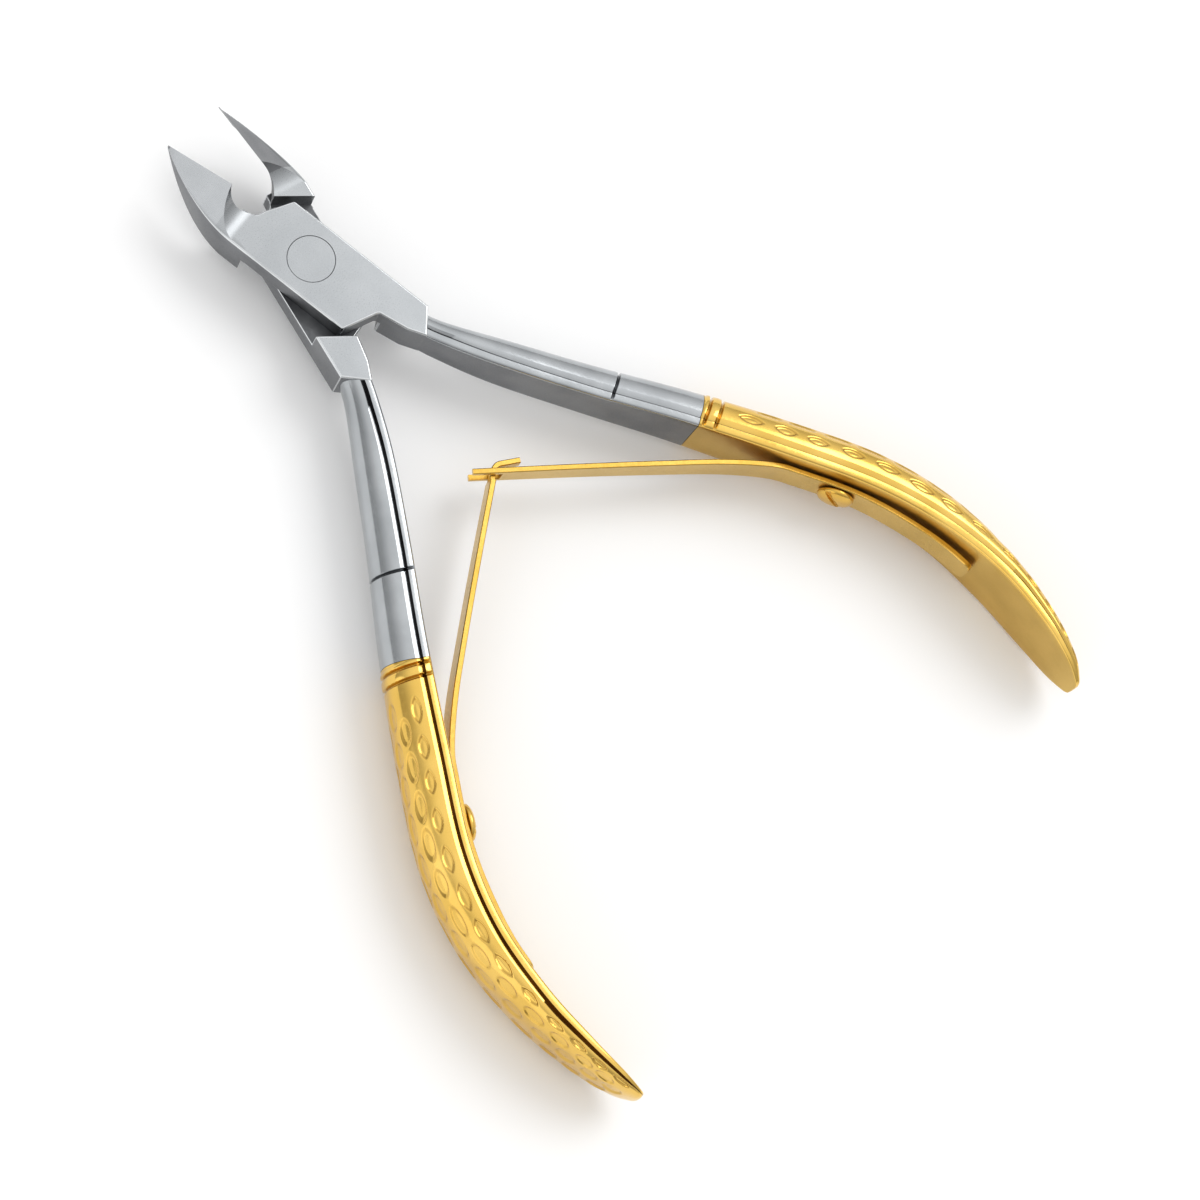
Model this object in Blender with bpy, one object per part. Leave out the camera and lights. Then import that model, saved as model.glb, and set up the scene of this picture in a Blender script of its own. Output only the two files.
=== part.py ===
"""Cuticle nipper, 4 inch, lap joint, double leaf spring.

Two crossed levers turn on a flush rivet. Lever A carries the upper lap plate,
lever B the lower one. Each lever is drawn once in its own closed frame, where
both cutting edges lie on the plane x = 0, then turned out to the sprung-open
rest position. Origin: on the rivet's axis, level with the joint's underside.
+Y points to the jaw tips, +Z to the cutting edges, +X to lever A's handle.
"""
import math

import bmesh
import bpy
from mathutils import Matrix, Vector

MM = 0.001

# Joint
OPEN_HALF_ANGLE = math.radians(10.8)   # each lever from closed to rest
JOINT_THICKNESS = 5.0
LAP_PLANE = 2.5                        # where the two lap plates meet
LAP_GAP = 0.10
PLATE_HALF_WIDTH = 3.9

# Rivet: stem, with a countersunk head formed flush at each end
RIVET_STEM_RADIUS = 1.9
RIVET_HEAD_RADIUS = 2.5
RIVET_HEAD_LAND = 0.3
RIVET_HEAD_DEPTH = 1.0
RIVET_CLEARANCE = 0.06
RIVET_SEGMENTS = 40

# Jaws
HEEL_Y = 10.6
TIP_Y = 18.4
HEEL_Z = 7.7
TIP_Z = 5.3
JAW_ROOT_Y = 5.2
SCOOP_RADIUS = 3.3
SCOOP_START_Y = 7.4
UNDERSIDE_START_Y = 8.0
UNDERSIDE_TIP_Z = 5.0
HOLLOW_SLOPE = 0.40                    # inner side falls back under the cutting edge

# Handles: inner line x, y in the closed frame, depth across, width along Z
HANDLE_KNOTS = [
    (0.85, -12.0, 2.6, 4.6),
    (1.55, -15.5, 2.9, 5.1),
    (3.50, -21.8, 3.6, 6.0),
    (6.90, -30.5, 3.95, 6.3),
    (10.90, -40.0, 4.3, 7.2),
    (14.90, -50.5, 4.65, 8.1),
    (18.10, -59.7, 4.7, 8.1),
    (19.40, -67.5, 4.25, 8.6),
    (19.10, -75.0, 3.35, 9.7),
    (17.80, -81.5, 2.5, 9.2),
    (16.50, -86.0, 1.7, 7.2),
    (15.70, -88.3, 0.9, 4.2),
    (15.45, -88.9, 0.45, 2.2),
]
SHANK_SPAN = (0.15, 4.105)              # knot numbers where the steel shank runs
GRIP_SPAN = (4.135, 12.0)               # knot numbers where the plated grip runs
SHANK_STATIONS = 16
GRIP_STATIONS = 30
EDGE_ROUND = 0.35
MARGIN = 0.95                          # smooth strip between inner face and crown
MARGIN_DROP = 0.12
CROWN_STEPS = 5
GROOVE_DEPTH = 0.4
GROOVE_HALF_WIDTH = 0.018              # in knot numbers
SHANK_GROOVE = 3.26
BEAD_GROOVES = (4.168, 4.30)

# Leaf springs, in the closed frame
LEAF_THICKNESS = 0.6
FLEX_POINT = (14.0, -50.1)
LEAF_KNOTS = [(14.0, -50.1), (10.95, -45.9), (6.7, -41.0), (0.86, -34.5)]
CLAMP_KNOTS = [(14.0, -50.1), (15.2, -52.8), (16.93, -57.5), (17.95, -61.5),
               (18.6, -66.0), (18.8, -69.5), (18.62, -72.8)]
JUNCTION_Y = -28.3                     # world Y where the spring tips cross at rest
FLEX_GAP = 0.15
LEAF_TIP_HALF_WIDTH = 1.35
LEAF_STEPS = 12
CLAMP_STEPS = 14
LEAF_ROOT_HALF_WIDTH = 2.0
CLAMP_TAIL_HALF_WIDTH = 1.8
FORK_REACH = 2.3
FORK_CROTCH = 0.85
FORK_SLOT_HALF = 0.85
SHOULDER_SETBACK = 0.95
NECK_HALF_WIDTH = 0.65
NECK_REACH = 0.3
HOOK_BEND_RADIUS = 0.9
HOOK_BEND_STEPS = 5
HOOK_LENGTH = 2.1
HOOK_OPENING = math.radians(8)

# Spring screws
SCREW_KNOT = 1.87                      # place along the clamped leaf
SCREW_HEAD_RADIUS = 1.95
SCREW_HEAD_HEIGHT = 0.85
SCREW_STEM_RADIUS = 0.8
SCREW_STEM_LENGTH = 2.9
SCREW_CLEARANCE = 0.08
SLOT_WIDTH = 0.55
SLOT_DEPTH = 0.4
SLOT_TURN = math.radians(40)
SCREW_SEAT_GAP = 0.15
SCREW_SEGMENTS = 24

MID_Z = JOINT_THICKNESS / 2


def clear_scene():
    for old in list(bpy.data.objects):
        bpy.data.objects.remove(old, do_unlink=True)


def make_material(name, colour, roughness):
    material = bpy.data.materials.new(name)
    material.use_nodes = True
    shader = material.node_tree.nodes["Principled BSDF"]
    shader.inputs["Base Color"].default_value = (*colour, 1.0)
    shader.inputs["Metallic"].default_value = 1.0
    shader.inputs["Roughness"].default_value = roughness
    material.diffuse_color = (*colour, 1.0)
    return material


def spline(knots, t):
    """Catmull-Rom value at knot number t; each knot is a tuple of numbers."""
    last = len(knots) - 1
    i = min(int(t), last - 1)
    u = t - i
    p1, p2 = knots[i], knots[i + 1]
    p0 = knots[i - 1] if i > 0 else tuple(2 * a - b for a, b in zip(p1, p2))
    p3 = knots[i + 2] if i + 2 <= last else tuple(2 * b - a for a, b in zip(p1, p2))
    return tuple(
        0.5 * (2 * b + (c - a) * u + (2 * a - 5 * b + 4 * c - d) * u ** 2
               + (3 * b - a - 3 * c + d) * u ** 3)
        for a, b, c, d in zip(p0, p1, p2, p3))


def span(start, end, count):
    return [start + (end - start) * i / (count - 1) for i in range(count)]


def path_normal(knots, t):
    """Unit vector square to the path at knot number t, to the path's left."""
    step = 0.01
    last = len(knots) - 1
    a = spline(knots, max(t - step, 0.0))
    b = spline(knots, min(t + step, last))
    along = Vector((b[0] - a[0], b[1] - a[1])).normalized()
    return Vector((-along.y, along.x))


class Side:
    """Carries closed-frame millimetres of one lever into world metres at rest."""

    def __init__(self, letter, mirror):
        self.letter = letter
        self.mirror = mirror
        self.turn = Matrix.Rotation(mirror * OPEN_HALF_ANGLE, 4, "Z")

    def point(self, x, y, z):
        return self.turn @ (Vector((self.mirror * x, y, z)) * MM)


SIDE_A = Side("a", 1)
SIDE_B = Side("b", -1)


def finish_mesh(bm, name, material, smooth=False, origin=(0, 0, 0)):
    bmesh.ops.recalc_face_normals(bm, faces=bm.faces)
    bmesh.ops.translate(bm, verts=bm.verts, vec=-Vector(origin))
    mesh = bpy.data.meshes.new(name)
    bm.to_mesh(mesh)
    bm.free()
    mesh.materials.append(material)
    if smooth:
        mesh.shade_smooth()
        mesh.set_sharp_from_angle(angle=math.radians(35))
    obj = bpy.data.objects.new(name, mesh)
    obj.location = origin
    bpy.context.scene.collection.objects.link(obj)
    return obj


def as_helper(obj):
    obj.hide_render = True
    obj.display_type = "WIRE"
    return obj


def loft(rings, name, material, smooth=True, origin=(0, 0, 0)):
    """Closed solid through rings of points, with flat ends."""
    bm = bmesh.new()
    loops = [[bm.verts.new(p) for p in ring] for ring in rings]
    count = len(rings[0])
    for a, b in zip(loops, loops[1:]):
        for i in range(count):
            j = (i + 1) % count
            bm.faces.new((a[i], a[j], b[j], b[i]))
    bm.faces.new(loops[0])
    bm.faces.new(reversed(loops[-1]))
    return finish_mesh(bm, name, material, smooth, origin)


def prism(side, outline, low, high, name, material):
    rings = [[side.point(x, y, z) for x, y in outline] for z in (low, high)]
    return loft(rings, name, material, smooth=False)


def add_boolean(obj, other, operation):
    modifier = obj.modifiers.new(operation.title(), "BOOLEAN")
    modifier.operation = operation
    modifier.solver = "EXACT"
    modifier.object = as_helper(other)


def arc(cx, cy, radius, start, end, steps):
    return [(cx + radius * math.cos(math.radians(start + (end - start) * i / steps)),
             cy + radius * math.sin(math.radians(start + (end - start) * i / steps)))
            for i in range(steps + 1)]


# ---------------------------------------------------------------- lever heads

def slab_outline():
    """Lap plate with its shoulder block, seen from above in the closed frame."""
    w = PLATE_HALF_WIDTH
    throat = arc(1.15, 8.15, 1.4, 262, 190, 5)
    front = [(w, 5.0), (3.66, 5.2)]
    jaw_root = [(-0.28, 8.6), (-w + 0.05, 8.6), (-w, 5.4)]
    rear = [(-w, -6.95), (-1.0, -8.3)]
    arch = arc(-0.75, -9.25, 0.75, 60, 0, 4)
    shoulder = [(0.45, -12.0), (1.22, -14.0), (w, -12.15)]
    return front + throat + jaw_root + rear + arch + shoulder


def recess_outline():
    """Space under (or over) the lap plate where the other lever's plate turns."""
    return [(-6.0, 4.55), (-0.33, 7.42), (1.2, 8.2), (6.0, 8.2),
            (6.0, -6.14), (0.64, -8.83), (-1.6, -9.95), (-6.0, -9.95)]


def jaw_section(y):
    """Jaw section at y: cutting edge, outer crease, outer foot, inner foot."""
    forward = max(0.0, (y - HEEL_Y) / (TIP_Y - HEEL_Y))
    edge_z = HEEL_Z + (TIP_Z - HEEL_Z) * forward
    run = max(0.0, (y - UNDERSIDE_START_Y) / (TIP_Y - UNDERSIDE_START_Y))
    foot_z = UNDERSIDE_TIP_Z * run ** 1.5
    behind = max(0.0, (y - SCOOP_START_Y) / (TIP_Y - SCOOP_START_Y))
    half = (PLATE_HALF_WIDTH - 0.04) * (1 - behind ** 1.9)
    crease_z = 4.35 + 0.62 * (2 * run - 1) ** 2
    inset = 0.25 * math.sin(math.pi * behind)
    slope = HOLLOW_SLOPE * min(1.0, max(0.0, (y - SCOOP_START_Y) / (HEEL_Y - SCOOP_START_Y)))
    edge_x = -0.3 * math.sin(math.pi * min(1.0, max(0.0, (y - 6.5) / (HEEL_Y - 6.5))))
    inner = min(slope * (edge_z - foot_z), max(half - 0.5, 0.6 * half))
    return [(edge_x, edge_z), (-max(half - inset, 0.02), crease_z),
            (-max(half, 0.04), foot_z), (min(edge_x, -inner), foot_z)]


def jaw_rings(side):
    stations = span(JAW_ROOT_Y, HEEL_Y, 8) + span(HEEL_Y + 0.7, TIP_Y - 0.05, 12)
    return [[side.point(x, y, z) for x, z in jaw_section(y)] for y in stations]


def scoop_outline():
    """Side view (y, z) of what is ground away between lap plate and heel."""
    centre_z = JOINT_THICKNESS + SCOOP_RADIUS
    curve = arc(SCOOP_START_Y, centre_z, SCOOP_RADIUS, 270, 350, 10)
    return [(1.0, JOINT_THICKNESS)] + curve + [(curve[-1][0], 12.0), (1.0, 12.0)]


def handle_section(depth, width, groove=0.0):
    """D section (n outward from the inner face, z from the middle)."""
    half = width / 2
    edge = min(EDGE_ROUND, 0.22 * depth)
    margin = min(MARGIN, 0.42 * depth)
    drop = MARGIN_DROP + groove * 0.8
    top = [(0.0, half - edge), (edge, half), (margin, half - 0.02)]
    crown = []
    for i in range(2 * CROWN_STEPS + 1):
        angle = math.radians(8 + 164 * i / (2 * CROWN_STEPS))
        crown.append((margin + (depth - groove - margin) * math.sin(angle) ** 0.9,
                      (half - drop) * math.cos(angle)))
    bottom = [(n, -z) for n, z in reversed(top)]
    return top + crown + bottom


def handle_ring(side, t):
    x, y, depth, width = spline(HANDLE_KNOTS, t)
    out = path_normal(HANDLE_KNOTS, t)
    groove = 0.0
    for place in (SHANK_GROOVE, *BEAD_GROOVES):
        groove = max(groove, GROOVE_DEPTH * (1 - abs(t - place) / GROOVE_HALF_WIDTH))
    return [side.point(x + out.x * n, y + out.y * n, MID_Z + z)
            for n, z in handle_section(depth, width, groove)]


def handle_stations(start, end, count):
    """Evenly spread stations, with three more at each turned groove."""
    stations = span(start, end, count)
    for place in (SHANK_GROOVE, *BEAD_GROOVES):
        if start < place < end:
            stations = [t for t in stations if abs(t - place) > 1.5 * GROOVE_HALF_WIDTH]
            stations += [place - GROOVE_HALF_WIDTH, place, place + GROOVE_HALF_WIDTH]
    return sorted(stations)


def rivet_profile(grow=0.0, overshoot=0.0):
    """Radius and z of the rivet, from the foot up."""
    stem, head = RIVET_STEM_RADIUS + grow, RIVET_HEAD_RADIUS + grow
    top = JOINT_THICKNESS
    return [(head, -overshoot), (head, RIVET_HEAD_LAND), (stem, RIVET_HEAD_DEPTH),
            (stem, top - RIVET_HEAD_DEPTH), (head, top - RIVET_HEAD_LAND),
            (head, top + overshoot)]


def turned(profile, name, material, segments, place=Matrix.Identity(4), origin=(0, 0, 0)):
    """Solid of revolution about local Z; profile of (radius, z) in millimetres."""
    rings = []
    for radius, z in profile:
        angles = [2 * math.pi * i / segments for i in range(segments)]
        rings.append([place @ (Vector((radius * math.cos(a), radius * math.sin(a), z)) * MM)
                      for a in angles])
    return loft(rings, name, material, True, origin)


def lever_head(side, keep_above, material):
    """Jaw, lap plate, shoulder block and steel shank of one lever."""
    name = f"lever_{side.letter}_head"
    head = prism(side, slab_outline(), 0.0, JOINT_THICKNESS, name, material)
    jaw = loft(jaw_rings(side), name + "_jaw_form", material, False)
    add_boolean(head, jaw, "UNION")
    scoop = [[side.point(x, y, z) for y, z in scoop_outline()] for x in (-8.0, 8.0)]
    add_boolean(head, loft(scoop, name + "_scoop_cutter", material, False), "DIFFERENCE")
    low, high = -2.0, LAP_PLANE + LAP_GAP / 2
    if not keep_above:
        low, high = LAP_PLANE - LAP_GAP / 2, 12.0
    recess = prism(side, recess_outline(), low, high, name + "_recess_cutter", material)
    add_boolean(head, recess, "DIFFERENCE")
    stations = handle_stations(*SHANK_SPAN, SHANK_STATIONS)
    shank = loft([handle_ring(side, t) for t in stations], name + "_shank_form", material)
    add_boolean(head, shank, "UNION")
    bore = turned(rivet_profile(RIVET_CLEARANCE, 1.0), name + "_bore_cutter", material,
                  RIVET_SEGMENTS)
    add_boolean(head, bore, "DIFFERENCE")
    return head


# ---------------------------------------------------------------- grips

def screw_frame(side):
    """Place of a spring screw: local +Z points out of the grip's inner face."""
    out = path_normal(CLAMP_KNOTS, SCREW_KNOT)
    x, y = spline(CLAMP_KNOTS, SCREW_KNOT)
    origin = side.point(x, y, MID_Z)
    axis = (side.point(x - out.x, y - out.y, MID_Z) - origin).normalized()
    turn = axis.to_track_quat("Z", "Y").to_matrix().to_4x4()
    return Matrix.Translation(origin) @ turn


def stem_cutter(side, name, material, low, high):
    radius = SCREW_STEM_RADIUS + SCREW_CLEARANCE
    return turned([(radius, low), (radius, high)], name, material, SCREW_SEGMENTS,
                  screw_frame(side))


def grip(side, material):
    name = f"lever_{side.letter}_grip"
    stations = handle_stations(*GRIP_SPAN, GRIP_STATIONS)
    body = loft([handle_ring(side, t) for t in stations], name, material)
    hole = stem_cutter(side, name + "_hole_cutter", material, -SCREW_STEM_LENGTH - 0.3, 2.0)
    add_boolean(body, hole, "DIFFERENCE")
    return body


# ---------------------------------------------------------------- springs

def strip_ring(side, centre, normal, half_thickness, half_width):
    corners = [(-1, -1), (1, -1), (1, 1), (-1, 1)]
    return [side.point(centre[0] + normal[0] * a * half_thickness,
                       centre[1] + normal[1] * a * half_thickness,
                       MID_Z + b * half_width)
            for a, b in corners]


def strip_path(knots, steps, trim):
    """Centres and normals along the knots, starting trim millimetres in."""
    last = len(knots) - 1
    first = trim / math.dist(knots[0], knots[1])
    return [(spline(knots, t), path_normal(knots, t)) for t in span(first, last, steps)]


def strip_rings(side, knots, steps, half_widths):
    """Rings of a leaf along the knots, its half width going from first to second."""
    first, last = half_widths
    rings = []
    for i, (centre, normal) in enumerate(strip_path(knots, steps, FLEX_GAP)):
        half = first + (last - first) * i / (steps - 1)
        rings.append(strip_ring(side, centre, normal, LEAF_THICKNESS / 2, half))
    return rings


def spring_clamp(side, material):
    """Part of the leaf that the screw holds against the grip."""
    name = f"spring_{side.letter}_clamp"
    widths = (LEAF_ROOT_HALF_WIDTH, CLAMP_TAIL_HALF_WIDTH)
    rings = strip_rings(side, CLAMP_KNOTS, CLAMP_STEPS, widths)
    strip = loft(rings, name, material, False)
    hole = stem_cutter(side, name + "_hole_cutter", material, -2.0, 2.0)
    add_boolean(strip, hole, "DIFFERENCE")
    return strip


def leaf_geometry():
    """Junction point and unit direction of the leaf's tip, in the closed frame."""
    junction = Matrix.Rotation(-OPEN_HALF_ANGLE, 2) @ Vector((0.0, JUNCTION_Y))
    return junction, (junction - Vector(LEAF_KNOTS[-1])).normalized()


def leaf_rings(side, end_reach):
    """Rings from the flex gap to end_reach millimetres past the junction."""
    junction, toward = leaf_geometry()
    knots = LEAF_KNOTS + [tuple(junction + toward * end_reach)]
    widths = (LEAF_ROOT_HALF_WIDTH, LEAF_TIP_HALF_WIDTH)
    return strip_rings(side, knots, LEAF_STEPS, widths)


def flex_origin(side):
    return side.point(*FLEX_POINT, MID_Z)


def fork_leaf(side, material):
    """Leaf whose tip is slotted into two prongs."""
    name = f"spring_{side.letter}_leaf"
    leaf = loft(leaf_rings(side, FORK_REACH), name, material, False, flex_origin(side))
    junction, toward = leaf_geometry()
    square = Vector((-toward.y, toward.x))
    rings = []
    for reach in (-FORK_CROTCH, FORK_REACH + 1.0):
        centre = junction + toward * reach
        rings.append(strip_ring(side, centre, square, 2.0, FORK_SLOT_HALF))
    add_boolean(leaf, loft(rings, name + "_slot_cutter", material, False), "DIFFERENCE")
    return leaf


def hooked_leaf(side, material):
    """Leaf whose tip narrows to a neck and folds back as a hook."""
    name = f"spring_{side.letter}_leaf"
    junction, toward = leaf_geometry()
    square = Vector((-toward.y, toward.x))
    half = LEAF_THICKNESS / 2
    rings = leaf_rings(side, -SHOULDER_SETBACK)
    for reach in (0.15 - SHOULDER_SETBACK, NECK_REACH):
        rings.append(strip_ring(side, junction + toward * reach, square, half, NECK_HALF_WIDTH))
    # The hook ends nearly parallel to the other leaf, on that leaf's front side.
    heading = math.atan2(toward.y, toward.x)
    rise = math.pi - (heading + OPEN_HALF_ANGLE)
    bend = (2 * rise - HOOK_OPENING) / HOOK_BEND_STEPS
    centre = junction + toward * NECK_REACH
    for _ in range(HOOK_BEND_STEPS):
        heading += bend / 2
        centre = centre + Vector((math.cos(heading), math.sin(heading))) * HOOK_BEND_RADIUS * bend
        heading += bend / 2
        across = (-math.sin(heading), math.cos(heading))
        rings.append(strip_ring(side, centre, across, half, NECK_HALF_WIDTH))
    end = centre + Vector((math.cos(heading), math.sin(heading))) * HOOK_LENGTH
    rings.append(strip_ring(side, end, across, half, NECK_HALF_WIDTH))
    return loft(rings, name, material, False, flex_origin(side))


# ---------------------------------------------------------------- fasteners

def rivet(material):
    return turned(rivet_profile(), "pivot_rivet", material, RIVET_SEGMENTS)


def spring_screw(side, material):
    """Slotted round-head screw that holds one leaf spring."""
    name = f"spring_{side.letter}_screw"
    seat = LEAF_THICKNESS / 2 + SCREW_SEAT_GAP
    top = seat + SCREW_HEAD_HEIGHT
    profile = [(SCREW_STEM_RADIUS, -SCREW_STEM_LENGTH), (SCREW_STEM_RADIUS, seat),
               (SCREW_HEAD_RADIUS, seat), (SCREW_HEAD_RADIUS, seat + 0.35 * SCREW_HEAD_HEIGHT),
               (0.8 * SCREW_HEAD_RADIUS, seat + 0.8 * SCREW_HEAD_HEIGHT),
               (0.4 * SCREW_HEAD_RADIUS, top)]
    screw = turned(profile, name, material, SCREW_SEGMENTS, screw_frame(side))
    reach = SCREW_HEAD_RADIUS + 1.0
    half = SLOT_WIDTH / 2
    corners = [(-half, -reach), (half, -reach), (half, reach), (-half, reach)]
    turn = screw_frame(side) @ Matrix.Rotation(SLOT_TURN, 4, "Z")
    rings = [[turn @ (Vector((x, y, z)) * MM) for x, y in corners]
             for z in (top - SLOT_DEPTH, top + 1.0)]
    cutter = loft(rings, name + "_slot_cutter", material, False)
    add_boolean(screw, cutter, "DIFFERENCE")
    return screw


def main():
    clear_scene()
    steel = make_material("satin_steel", (0.55, 0.57, 0.59), 0.32)
    rivet_steel = make_material("rivet_steel", (0.56, 0.58, 0.60), 0.35)
    gold = make_material("gold_plate", (0.90, 0.62, 0.18), 0.22)
    spring_gold = make_material("gold_spring", (0.86, 0.60, 0.20), 0.28)
    for side, keep_above in ((SIDE_A, True), (SIDE_B, False)):
        lever_head(side, keep_above, steel)
        grip(side, gold)
        spring_clamp(side, spring_gold)
        spring_screw(side, spring_gold)
    fork_leaf(SIDE_A, spring_gold)
    hooked_leaf(SIDE_B, spring_gold)
    rivet(rivet_steel)


main()
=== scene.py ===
"""Looks of the cuticle nipper: satin steel heads, gold plated dimpled grips,
leaf springs, slotted screws and a flush rivet.

Lengths in the tables below are millimetres in one lever's closed frame, in which both
cutting edges lie on x = 0; SideFrame carries them into the row frame at rest.
"""
import math
import random

import bmesh
import bpy
from mathutils import Matrix, Vector


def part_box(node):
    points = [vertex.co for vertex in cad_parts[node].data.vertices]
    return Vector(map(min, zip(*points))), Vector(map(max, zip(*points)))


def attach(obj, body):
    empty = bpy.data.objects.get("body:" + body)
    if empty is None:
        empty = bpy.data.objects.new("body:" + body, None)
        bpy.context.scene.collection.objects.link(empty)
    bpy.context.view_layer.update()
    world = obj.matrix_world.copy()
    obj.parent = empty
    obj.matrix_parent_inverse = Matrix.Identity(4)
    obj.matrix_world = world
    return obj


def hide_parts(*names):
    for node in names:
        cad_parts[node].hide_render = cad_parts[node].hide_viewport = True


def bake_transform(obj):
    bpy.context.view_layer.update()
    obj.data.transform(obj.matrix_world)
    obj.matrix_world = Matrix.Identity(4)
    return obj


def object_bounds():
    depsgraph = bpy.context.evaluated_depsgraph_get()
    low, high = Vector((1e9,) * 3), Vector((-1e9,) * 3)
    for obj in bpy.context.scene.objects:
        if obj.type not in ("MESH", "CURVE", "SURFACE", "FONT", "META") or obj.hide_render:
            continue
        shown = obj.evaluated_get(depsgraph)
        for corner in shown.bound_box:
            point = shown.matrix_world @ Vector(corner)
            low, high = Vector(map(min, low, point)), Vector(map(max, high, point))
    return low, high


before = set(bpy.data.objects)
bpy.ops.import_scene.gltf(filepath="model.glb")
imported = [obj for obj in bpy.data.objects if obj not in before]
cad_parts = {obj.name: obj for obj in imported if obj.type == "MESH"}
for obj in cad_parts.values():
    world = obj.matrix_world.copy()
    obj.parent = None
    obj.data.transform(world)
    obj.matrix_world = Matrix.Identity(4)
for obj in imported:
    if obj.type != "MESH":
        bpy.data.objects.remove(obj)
cad_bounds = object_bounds()

MM = 0.001
RIVET_LOW, RIVET_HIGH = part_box("pivot_rivet")
JOINT_THICKNESS = round((RIVET_HIGH.z - RIVET_LOW.z) / MM, 2)
RIVET_HEAD_RADIUS = (RIVET_HIGH.x - RIVET_LOW.x) / 2 / MM
MID_Z = JOINT_THICKNESS / 2

# Joint
OPEN_HALF_ANGLE = math.radians(10.8)
LAP_GAP = 0.10
PLATE_HALF_WIDTH = 3.9
RIVET_CLEARANCE = 0.03
RIVET_DEPTH = 0.9
EDGE_BEVEL = 0.20
LAP_EDGE_BEVEL = 0.08
BEVEL_STEPS = 3
FACET_BANDS = 8
MERGE_DISTANCE = 0.000001                      # metres
LAP_ZONE = 0.2                                 # faces and edges this near mid height are the lap's
CUT_LOW = -2.0                                 # cutters reach past the metal
CUT_HIGH = 12.0
CUT_HALF_WIDTH = 8.0
RIVET_STEM_STEP = 0.6
RIVET_CONE = 0.4
RIVET_SOFT = 0.05

# Jaws
HEEL_Y = 10.6
TIP_Y = 18.4
HEEL_Z = 7.7
TIP_Z = 5.3
JAW_ROOT_Y = 5.2
SCOOP_RADIUS = 3.3
SCOOP_START_Y = 7.4
THROAT_START_Y = 6.5
THROAT_DEPTH = 0.3
JAW_PROUD = 0.01                               # keeps the jaw's sides off the plate's sides
RECESS_FRONT = [(-6.0, 4.55), (-0.33, 7.42), (1.2, 8.2), (6.0, 8.2)]
PLATE_FRONT = [(-6.0, 9.5), (6.0, 9.5)]
UNDERSIDE_START_Y = 8.0
UNDERSIDE_TIP_Z = 5.0
CREASE_LOW_Z = 4.38
HOLLOW_SLOPE = 0.40
SCOOP_CUT_FROM_Y = 1.0
UNDERSIDE_CURVE = 1.5
JAW_TAPER = 1.9
CREASE_INSET = 0.25
CREASE_MIN_HALF = 0.02
FOOT_MIN_HALF = 0.04
INNER_MIN_WALL = 0.5
INNER_MAX_SHARE = 0.6                          # of the jaw's half width
FLANK_PAST_ROOT = 0.8
FACET_BEFORE_HEEL = 1.0
SIDE_SLOPE = 0.35                              # parts of the normals that tell faces apart
REAR_SLOPE = -0.3
LEVEL_SLOPE = 0.9

# Handles: inner line x, y, depth across, width along Z
HANDLE_KNOTS = [
    (0.85, -12.0, 2.6, 4.6),
    (1.55, -15.5, 2.9, 5.1),
    (3.50, -21.8, 3.6, 6.0),
    (6.90, -30.5, 3.95, 6.3),
    (10.90, -40.0, 4.3, 7.2),
    (14.90, -50.5, 4.65, 8.1),
    (18.10, -59.7, 4.7, 8.1),
    (19.40, -67.5, 4.25, 8.6),
    (19.10, -75.0, 3.35, 9.7),
    (17.80, -81.5, 2.5, 9.2),
    (16.50, -86.0, 1.7, 7.2),
    (15.70, -88.3, 0.9, 4.2),
    (15.45, -88.9, 0.45, 2.2),
]
SHANK_SPAN = (0.15, 4.125)
GRIP_SPAN = (4.13, 11.7)
GRIP_END_DOME = 0.19
GRIP_END_RINGS = (0.35, 0.65, 0.88)
GRIP_STATIONS = 540
GRIP_CROWN_STEPS = 64
SHANK_GROOVE = 3.26
BEAD_GROOVES = (4.185, 4.295)
BEADS = ((4.135, 4.18), (4.19, 4.29))
BEAD_HEIGHT = 0.12
RING_LEAN = 0.010                              # knots per millimetre out from the inner face
GROOVE_DEPTH = 0.30
GROOVE_HALF_WIDTH = 0.018
EDGE_ROUND = 0.35
SKIN = 0.004                                   # how far the looks stay inside the CAD handles
MARGIN_END = 0.80
MARGIN_GROOVE = 0.95
CROWN_START = 1.12
MARGIN_GROOVE_DEPTH = 0.32
CROWN_SQUARENESS = 2.35
CROWN_FIRST_DEGREES = 4
CROWN_SIDE_INSET = 0.06
MARGIN_INSET = 0.02
SMALL_DEPTH = 3.0                              # shallower sections have their details scaled down
CROWN_ARC_INSET = 0.3
CROWN_CENTRE = 0.3                             # share of the depth that relief points to
RELIEF_START = 0.2                             # no relief nearer than this to the inner face
RELIEF_FULL = 0.5
GROOVE_ZONE = 2.5                              # half widths of closer stations round a groove
GROOVE_STATIONS = 28
SECTION_FLAT = 3                               # bands of the section on the inner face
SECTION_SEAM = 8                               # band that drops from the margin to the seam

# Dimples on the crown
DIMPLE_ROWS = (21, 48, 77, 103, 132, 159)      # degrees round the crown
DIMPLE_START = 4.40
DIMPLE_PITCH = 3.70
DIMPLE_END_PITCH = 2.6
DIMPLE_SEED = 7
DIMPLE_FIRST = 2.0                             # from the ends to the outermost dimples' middles
DIMPLE_LAST = 2.2
DIMPLE_TAPER_FROM = 0.62                       # share of the length where the pitch starts to fall
DIMPLE_TAPER_RATE = 1.6
DIMPLE_SHIFT = 0.15
DIMPLE_TURN = 1.5
DIMPLE_SPREAD = 0.08
DIMPLE_WIDTH_KEPT = 0.4                        # share of the width that the pitch doesn't change
DIMPLE_FULL_HALF = 0.6                         # dimples of a smaller half width are shallower
LENS_POINT, ROUND_POINT = 1.35, 2.0            # power across the dimple; lower is more pointed
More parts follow.
